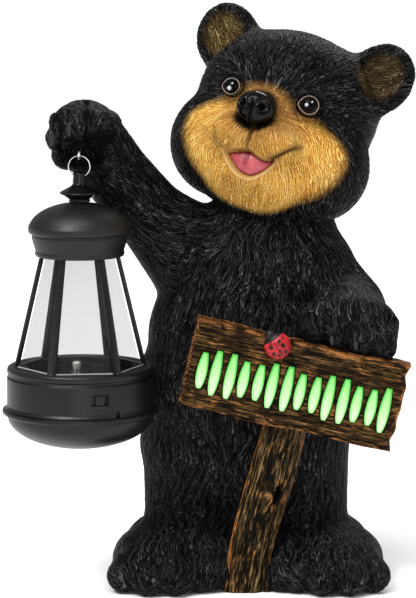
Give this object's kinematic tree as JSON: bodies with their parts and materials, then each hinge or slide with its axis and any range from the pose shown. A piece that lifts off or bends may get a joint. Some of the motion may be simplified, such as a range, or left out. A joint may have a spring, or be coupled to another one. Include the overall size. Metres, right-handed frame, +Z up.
{
  "type": "bear garden statue with hanging lantern",
  "caption": "standing bear figure that holds up a hanging lantern in a raised paw and rests the other paw on a leaning plank sign",
  "frame": {"origin": "centre of the whole statue's box on the ground, under the feet", "axes": "+Z up, the bear faces -Y, +X to the viewer's right"},
  "size_m": [0.273, 0.1708, 0.3869],
  "materials": {
    "fur": "satin",
    "wood": "matte",
    "glow": "satin",
    "red": "gloss",
    "black": "satin",
    "clear": "gloss",
    "steel": "polished"
  },
  "bodies": {
    "statue": {"bear": "fur", "sign_board": "wood", "sign_post": "wood", "sign_stroke_01": "glow", "sign_stroke_02": "glow", "sign_stroke_03": "glow", "sign_stroke_04": "glow", "sign_stroke_05": "glow", "sign_stroke_06": "glow", "sign_stroke_07": "glow", "sign_stroke_08": "glow", "sign_stroke_09": "glow", "sign_stroke_10": "glow", "sign_stroke_11": "glow", "sign_stroke_12": "glow", "sign_stroke_13": "glow", "sign_stroke_14": "glow", "beetle": "red", "screw_eye": "steel", "split_ring": "steel", "lantern_finial": "black", "lantern_cap": "black", "lantern_bar_1": "black", "lantern_bar_2": "black", "lantern_bar_3": "black", "lantern_bar_4": "black", "lantern_bar_5": "black", "lantern_bar_6": "black", "lantern_pane_1": "clear", "lantern_pane_2": "clear", "lantern_pane_3": "clear", "lantern_pane_4": "clear", "lantern_pane_5": "clear", "lantern_pane_6": "clear", "lantern_drum": "black", "lantern_bowl": "black", "lamp": "clear", "lamp_carrier": "black"},
    "switch": {"switch_slider": "black"}
  },
  "joints": [
    {"name": "switch_slide", "type": "slide", "parent": "statue", "child": "switch", "axis": [0.9537, 0.3007, 0], "range_m": [-0.0028, 0.0028]}
  ]
}
